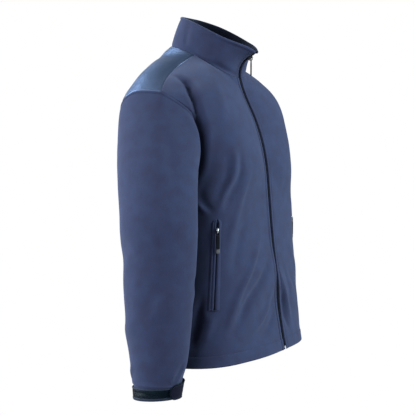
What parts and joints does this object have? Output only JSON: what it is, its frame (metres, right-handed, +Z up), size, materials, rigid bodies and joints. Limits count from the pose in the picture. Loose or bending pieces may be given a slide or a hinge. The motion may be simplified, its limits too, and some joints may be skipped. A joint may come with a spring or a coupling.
{
  "type": "fleece zip jacket",
  "caption": "Hollow fleece jacket with a leaning stand collar, full front zip, zipped side pockets, a smooth yoke and tabbed cuffs.",
  "frame": {"origin": "on the neck's axis, level with the highest points of the shoulder seams, where the jacket rests on its wearer", "axes": "+Z up, -Y to the wearer's front, +X to the wearer's left"},
  "size_m": [0.707, 0.3405, 0.8142],
  "materials": {
    "fleece": "brushed navy fleece",
    "shell": "smooth woven navy shell with a slight sheen",
    "trim": "dark glossy woven strip",
    "tape": "woven zip tape",
    "plastic": "moulded",
    "metal": "bright slider metal"
  },
  "bodies": {
    "jacket": {"front_left": "fleece", "front_right": "fleece", "back": "fleece", "yoke": "shell", "collar": "fleece", "sleeve_left": "fleece", "sleeve_right": "fleece", "zip_tape_left": "tape", "zip_tape_right": "tape", "zip_teeth": "plastic", "zip_slider": "metal", "pocket_welt_rear_left": "fleece", "pocket_welt_front_left": "fleece", "pocket_zip_left": "tape", "pocket_slider_left": "metal", "pocket_welt_rear_right": "fleece", "pocket_welt_front_right": "fleece", "pocket_zip_right": "tape", "pocket_slider_right": "metal", "cuff_band_left": "trim", "cuff_tab_left": "trim", "cuff_band_right": "trim", "cuff_tab_right": "trim"},
    "front_pull": {"zip_pull": "plastic"},
    "left_pocket_pull": {"pocket_pull_left": "plastic"},
    "right_pocket_pull": {"pocket_pull_right": "plastic"}
  },
  "joints": [
    {"name": "front_pull_swing", "type": "hinge", "parent": "jacket", "child": "front_pull", "pos_m": [0, -0.10987, -0.0017], "axis": [-1, 0, 0], "range_deg": [-20, 90]},
    {"name": "left_pocket_pull_swing", "type": "hinge", "parent": "jacket", "child": "left_pocket_pull", "pos_m": [0.19407, -0.1276, -0.36856], "axis": [-0.6045, -0.7966, 0], "range_deg": [0, 100]},
    {"name": "right_pocket_pull_swing", "type": "hinge", "parent": "jacket", "child": "right_pocket_pull", "pos_m": [-0.19274, -0.12713, -0.36846], "axis": [-0.6328, 0.7743, 0], "range_deg": [0, 100]}
  ]
}
